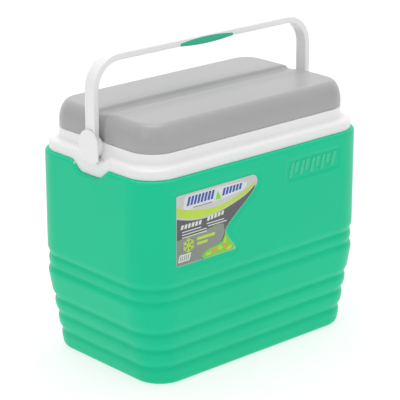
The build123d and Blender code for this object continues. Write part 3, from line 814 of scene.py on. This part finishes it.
def build_label():
    """Silver label with a lime swoosh, a dark lower field, leaning bars, a snow crystal and fruit."""
    plate = facing_plate("label_plate", label_outline(), LABEL_HI.y, LABEL_FACE, LABEL_SILVER)
    finish_piece(plate, "chest", "label_film", "front_label")
    printed("label_field", below_line(DARK_TOP), 1, LABEL_DARK)
    printed("label_swoosh", curve(SWOOSH_TOP) + list(reversed(curve(SWOOSH_LOW))), 1, LABEL_LIME)
    printed("label_shade", mm_points(*SHADE), 2, LABEL_MID)
    print_header()
    print_field()
    print_fruit()
    printed("label_panel", mm_slanted(2, 19, 4.2, 12.6), 3, LABEL_PALE)
    for k in range(5):
        x = 4.2 + STRIPE_PITCH * k
        printed(f"label_stripe_{k}", mm_slanted(x, x + STRIPE_WIDTH, 5.4, 11.2), 4, LABEL_MID)


build_label()


# --- plaque: raised leaning bars in the recess ---
PLAQUE_RISE = 0.75 * MM
PLAQUE_ROOT = 0.4 * MM        # how far the bars reach below the plaque's floor
PLAQUE_EDGE = 0.45 * MM
PLAQUE_BARS = [(4 + 8.4 * k, 9.4 + 8.4 * k, 4.5 + 5 * (k % 2), 21.5) for k in range(9)]


def build_plaque():
    """Row of leaning bars moulded on the plaque's floor."""
    floor_y = SHELL_LO.y + PLAQUE_RECESS
    left, low = PLAQUE[0], PLAQUE[2]
    for k, (x0, x1, z0, z1) in enumerate(PLAQUE_BARS):
        outline = slanted(left + x0 * MM, left + x1 * MM, low + z0 * MM, low + z1 * MM)
        bar = bevelled_prism(f"plaque_bar_{k}", outline, lambda u, v, d: (u, d, v), floor_y + PLAQUE_ROOT,
                             floor_y - PLAQUE_RISE, PLAQUE_EDGE, GREEN_SHELL)
        finish_piece(weighted(bar), "chest", "green_shell")


build_plaque()


# --- lid ---
LID_CORNER_R = 32 * MM
LID_ROLL_IN = 13 * MM
LID_ROLL_DOWN = 26 * MM
TROUGH_HALF = 20 * MM
TROUGH_DEPTH = 4 * MM
TROUGH_SOFT = 0.7 * MM
END_NOTCH_HALF = 11.5 * MM
END_NOTCH_DEPTH = 2.4 * MM
END_NOTCH_SOFT = 1.2 * MM
END_NOTCH_REACH = (20 * MM, 13 * MM)    # the notch fades in between these distances from the end
TROUGH_LOW = 7 * MM           # where the trough is deepest
TROUGH_BACK = 15 * MM         # its back edge
LID_CROWN = 0.8 * MM          # rise of the lid's top at its middle
LID_FOOT = ((0.0, 2.6), (0.0, 1.0), (0.3, 0.3), (1.0, 0.0))    # level and inset of the lower edge's rings
LID_ROLL_STEPS = 24
LID_TOP_STEP = 1.8 * MM
LID_CORE = 0.6 * MM           # half width of the last ring on the lid's top
LID_LEAST_R = 5 * MM
LID_COUNTS = (90, 70, 18)


def trough_drop(y):
    """Depth of the valley along the lid's top: gentle towards the front, steeper at the back."""
    front = smoothstep(-TROUGH_HALF, TROUGH_LOW, y)
    back = 1 - smoothstep(TROUGH_LOW, TROUGH_BACK, y)
    return TROUGH_DEPTH * front * back


def valley(y, z, top):
    """How far a point of the lid sinks where the valley's floor lies below it."""
    floor_gap = (z - top + trough_drop(y)) / TROUGH_SOFT
    flat_gap = (z - top) / TROUGH_SOFT
    return TROUGH_SOFT * (np.logaddexp(0, floor_gap) - np.logaddexp(0, flat_gap))


def lid_levels():
    """Levels of the lid's rings with how far each stands in: lower edge, side, rolled edge, then top."""
    low, top = LID_LO.z, LID_HI.z
    roll_z = top - LID_ROLL_DOWN
    levels = [(low + rise * MM, inset * MM) for rise, inset in LID_FOOT]
    levels += [(low + (roll_z - low) * k / 4, 0.0) for k in (1.5, 2.5)]
    for k in range(LID_ROLL_STEPS + 1):
        angle = math.radians(90 * k / LID_ROLL_STEPS)
        levels.append((roll_z + (LID_ROLL_DOWN - LID_CROWN) * math.sin(angle),
                       LID_ROLL_IN * (1 - math.cos(angle))))
    inset = LID_ROLL_IN
    while inset < LID_HI.y - 2.5 * MM:
        inset += LID_TOP_STEP
        levels.append((top - LID_CROWN, min(inset, LID_HI.y - LID_CORE)))
    return levels


def end_notch_pull(x, y):
    """How far the lid's ends stand back where the trough runs out."""
    beside = 1 - smoothstep(END_NOTCH_HALF - END_NOTCH_SOFT, END_NOTCH_HALF + END_NOTCH_SOFT, np.abs(y))
    inner, outer = (LID_HI.x - reach for reach in END_NOTCH_REACH)
    return END_NOTCH_DEPTH * beside * smoothstep(inner, outer, np.abs(x))


def build_lid():
    """Pillow-shaped cover with a valley along its top that runs into a notch at each end."""
    top = LID_HI.z
    rings = []
    for z, inset in lid_levels():
        half_x, half_y = LID_HI.x - inset, LID_HI.y - inset
        radius = min(max(LID_CORNER_R - inset, LID_LEAST_R), half_y * 0.98)
        points, _ = rounded_outline(half_x, half_y, radius, *LID_COUNTS)
        x, y = np.array(points).T
        flat = smoothstep(top - LID_ROLL_DOWN, top - LID_CROWN, z)
        dome = LID_CROWN * (1 - (x / LID_HI.x) ** 2) * (1 - (y / LID_HI.y) ** 2) * flat
        drop = valley(y, z + dome, top)
        rings.append(np.column_stack([x - np.sign(x) * end_notch_pull(x, y), y, z + dome - drop]))
    lid = rings_object("lid_skin", [list(map(tuple, r)) for r in rings], LID_GREY)
    return finish_piece(lid, "lid", "lid_grey", "lid_cover")


build_lid()


# --- bail handle ---
BAIL_HALF_WIDTH = 8 * MM
BAIL_THICK = 7.7 * MM
BAIL_CORNER_R = 37.7 * MM
BAIL_EDGE = 1.5 * MM
HUB_R = 12.5 * MM
CHANNEL_HALF = 4.6 * MM
CHANNEL_DEPTH = 0.6 * MM
CHANNEL_SIDE = ((1.0, 0.0), (0.4, 0.15), (-0.2, 0.85), (-0.9, 1.0))    # millimetres out, share of depth
HUB_EDGE = 0.8 * MM


def bail_section():
    """Strap section as pairs of (across, out): rounded edges and a shallow channel in the outer face."""
    w, t, r = BAIL_HALF_WIDTH, BAIL_THICK, BAIL_EDGE
    side = [(CHANNEL_HALF + out * MM, -CHANNEL_DEPTH * share) for out, share in CHANNEL_SIDE]
    channel = side + [(0.0, -CHANNEL_DEPTH)] + [(-across, out) for across, out in reversed(side)]
    points = []
    for cx, cz, first in ((w - r, -r, 0), (-w + r, -r, 90), (-w + r, -t + r, 180), (w - r, -t + r, 270)):
        for k in range(5):
            angle = math.radians(first + 90 * k / 4)
            points.append((cx + r * math.cos(angle), cz + r * math.sin(angle)))
        if first == 0:
            points += channel
    return points


def bail_corner(cx, cz, first):
    """Points and directions of one rounded corner, over a quarter turn from an angle down."""
    corner = []
    for k in range(17):
        angle = math.radians(first - 90 * k / 16)
        out = (math.cos(angle), math.sin(angle))
        corner.append(((cx + BAIL_CORNER_R * out[0], cz + BAIL_CORNER_R * out[1]), out))
    return corner


def bail_path():
    """Outer line of the bail in X and Z with its outward direction, from the left hub to the right."""
    x, top = ARM_HI.x, BAR_HI.z
    core_x, core_z = x - BAIL_CORNER_R, top - BAIL_CORNER_R
    arm = core_z - PIVOT.z
    path = [((-x, PIVOT.z + arm * k / 8), (-1, 0)) for k in range(8)]
    path += bail_corner(-core_x, core_z, 180)
    path += [((-core_x + 2 * core_x * k / 24, top), (0, 1)) for k in range(1, 24)]
    path += bail_corner(core_x, core_z, 90)
    return path + [((x, core_z - arm * k / 8), (1, 0)) for k in range(1, 9)]


def build_bail():
    """White bail with rimmed outer face and a round hub at each end."""
    section = bail_section()
    rings = []
    for (px, pz), (nx, nz) in bail_path():
        rings.append([(px + nx * out, across, pz + nz * out) for across, out in section])
    bail = rings_object("bail_strap", rings, WHITE)
    finish_piece(weighted(bail), "handle", "white_plastic", "bail_bar", "left_bail_arm", "right_bail_arm")
    turns = [math.tau * k / 48 for k in range(48)]
    circle = [(HUB_R * math.cos(a), PIVOT.z + HUB_R * math.sin(a)) for a in turns]
    for side, name in ((1, "right"), (-1, "left")):
        hub = bevelled_prism(name + "_hub", circle, lambda u, v, d: (side * d, u, v), ARM_HI.x - BAIL_THICK,
                             ARM_HI.x, HUB_EDGE, WHITE)
        finish_piece(weighted(hub), "handle", "white_plastic")


build_bail()


# --- grip ---
GRIP_END_RISE = 3.2 * MM
GRIP_MID_RISE = 6.1 * MM
GRIP_WALL = 0.35 * MM
GRIP_STATIONS = 81
GRIP_END_FADE = 1.2 * MM      # the wall thins over this length at each end
GRIP_LEAST_WALL = 0.02 * MM
GRIP_RIPPLE = 0.12 * MM       # height of the finger ripples
GRIP_PITCH = 4.0 * MM         # and their spacing
GRIP_ROUND = 2.4 * MM
GRIP_LET_IN = 1.2 * MM        # how far the grip's rims reach into the bar
GRIP_CORE = 1.4 * MM


def quarter(cx, cz, radius, first):
    """Points of a quarter circle, counter-clockwise from an angle."""
    turns = [math.radians(first + 90 * j / 6) for j in range(7)]
    return [(cx + radius * math.cos(a), cz + radius * math.sin(a)) for a in turns]


def grip_section(share, end, ripple, bar_low):
    """Section of the grip in Y and Z; share is 1 at its middle and 0 at its ends."""
    side = GRIP_WALL * math.sqrt(end) + GRIP_LEAST_WALL + BAIL_HALF_WIDTH
    low = bar_low - (bar_low - GRIP_LO.z) * share ** 0.9 - 0.05 * MM
    low += (GRIP_RIPPLE + ripple) * (share > 0.05)
    high = bar_low + GRIP_END_RISE + (GRIP_MID_RISE - GRIP_END_RISE) * share
    turn = min(GRIP_ROUND, (high - low) * 0.45)
    inner = BAIL_HALF_WIDTH - GRIP_LET_IN
    rim = [(side - 0.15 * MM, high + 0.12 * MM), (inner, high + 0.1 * MM), (inner, bar_low + GRIP_CORE)]
    outer = [(-side, high)] + quarter(-side + turn, low + turn, turn, 180)
    outer += quarter(side - turn, low + turn, turn, 270) + [(side, high)]
    return outer + rim + [(-y, z) for y, z in reversed(rim)]


def build_grip():
    """Soft green grip round the bar's underside and sides, thickest at its middle."""
    bar_low = BAR_HI.z - BAIL_THICK
    half = GRIP_HI.x
    rings = []
    for k in range(GRIP_STATIONS):
        x = half * (2 * k / (GRIP_STATIONS - 1) - 1)
        share = 1 - (x / half) ** 2
        end = min(1.0, (half - abs(x)) / GRIP_END_FADE)
        ripple = GRIP_RIPPLE * math.cos(math.tau * x / GRIP_PITCH) * min(1, share * 3)
        rings.append([(x, y, z) for y, z in grip_section(share, end, ripple, bar_low)])
    grip = rings_object("grip_skin", rings, GRIP_GREEN)
    finish_piece(weighted(grip), "handle", "grip_rubber", "grip_insert")


build_grip()


# --- stage, lights and camera ---
STAGE_HALF = 6.0
STAGE_BACK = 3.2
STAGE_BEND = 0.9
STAGE_TOP = 5.0
STAGE_TURN = -42
STAGE_GREY = (0.35, 0.35, 0.35, 1)
STAGE_GLOW = 0.70
STAGE_ROUGHNESS = 0.8


def stage_material():
    """Matt pale floor with a glow of its own, so that it stays white under soft light."""
    material = bpy.data.materials.new("stage_white")
    material.use_nodes = True
    sockets = material.node_tree.nodes["Principled BSDF"].inputs
    sockets["Base Color"].default_value = STAGE_GREY
    sockets["Emission Color"].default_value = (1, 1, 1, 1)
    sockets["Emission Strength"].default_value = STAGE_GLOW
    sockets["Roughness"].default_value = STAGE_ROUGHNESS
    return material


def build_stage():
    """Plain pale floor that curves up into a backdrop."""
    level = STAGE_BACK - STAGE_BEND
    profile = [(-STAGE_HALF, 0.0), (0.0, 0.0), (level, 0.0)]
    for k in range(1, 13):
        angle = math.radians(90 * k / 12)
        profile.append((level + STAGE_BEND * math.sin(angle), STAGE_BEND - STAGE_BEND * math.cos(angle)))
    profile.append((STAGE_BACK, STAGE_TOP))
    turn = Matrix.Rotation(math.radians(STAGE_TURN), 3, "Z")
    verts = [tuple(turn @ Vector((x, y, z))) for y, z in profile for x in (-STAGE_HALF, STAGE_HALF)]
    faces = [(2 * k, 2 * k + 1, 2 * k + 3, 2 * k + 2) for k in range(len(profile) - 1)]
    make_object("stage_floor", verts, faces, stage_material())


def area_light(name, place, target, size, power):
    """Soft square light aimed at a point."""
    data = bpy.data.lights.new(name, "AREA")
    data.shape = "SQUARE"
    data.size = size
    data.energy = power
    light = bpy.data.objects.new(name, data)
    light.location = place
    light.rotation_euler = (Vector(target) - Vector(place)).to_track_quat("-Z", "Y").to_euler()
    bpy.context.scene.collection.objects.link(light)


CAMERA_AZIMUTH = math.radians(-42.26)
CAMERA_ELEVATION = math.radians(18.94)
CAMERA_DISTANCE = 2.1152
CAMERA_TARGET = Vector((0, 0, 0.1594))
CAMERA_LENS = 163.06
CAMERA_SHIFT_X = -0.0061075
CAMERA_SHIFT_Y = 0.0107075
SENSOR_WIDTH = 36
WORLD_GLOW = 0.46
LIGHTS = (                    # name, place, the point it looks at, size and power
    ("top", (0.0, 0.1, 2.6), (0, 0, 0.2), 2.0, 33),
    ("left", (-2.2, -0.6, 1.6), (0, 0, 0.2), 1.4, 7),
    ("front", (0.9, -2.4, 1.1), (0, 0, 0.24), 1.4, 5),
)


def build_camera():
    """Long lens from the front left, a little above the lid."""
    data = bpy.data.cameras.new("camera")
    data.lens = CAMERA_LENS
    data.sensor_width = SENSOR_WIDTH
    data.shift_x = CAMERA_SHIFT_X
    data.shift_y = CAMERA_SHIFT_Y
    camera = bpy.data.objects.new("camera", data)
    away = Vector((math.sin(CAMERA_AZIMUTH) * math.cos(CAMERA_ELEVATION),
                   -math.cos(CAMERA_AZIMUTH) * math.cos(CAMERA_ELEVATION), math.sin(CAMERA_ELEVATION)))
    camera.location = CAMERA_TARGET + away * CAMERA_DISTANCE
    camera.rotation_euler = (-away).to_track_quat("-Z", "Y").to_euler()
    bpy.context.scene.collection.objects.link(camera)
    bpy.context.scene.camera = camera


def build_world():
    """Even white light from all round."""
    world = bpy.data.worlds.new("studio")
    world.use_nodes = True
    world.node_tree.nodes["Background"].inputs["Color"].default_value = (1, 1, 1, 1)
    world.node_tree.nodes["Background"].inputs["Strength"].default_value = WORLD_GLOW
    bpy.context.scene.world = world
    bpy.context.scene.view_settings.view_transform = "Standard"


build_stage()
for light in LIGHTS:
    area_light(*light)
build_world()
build_camera()
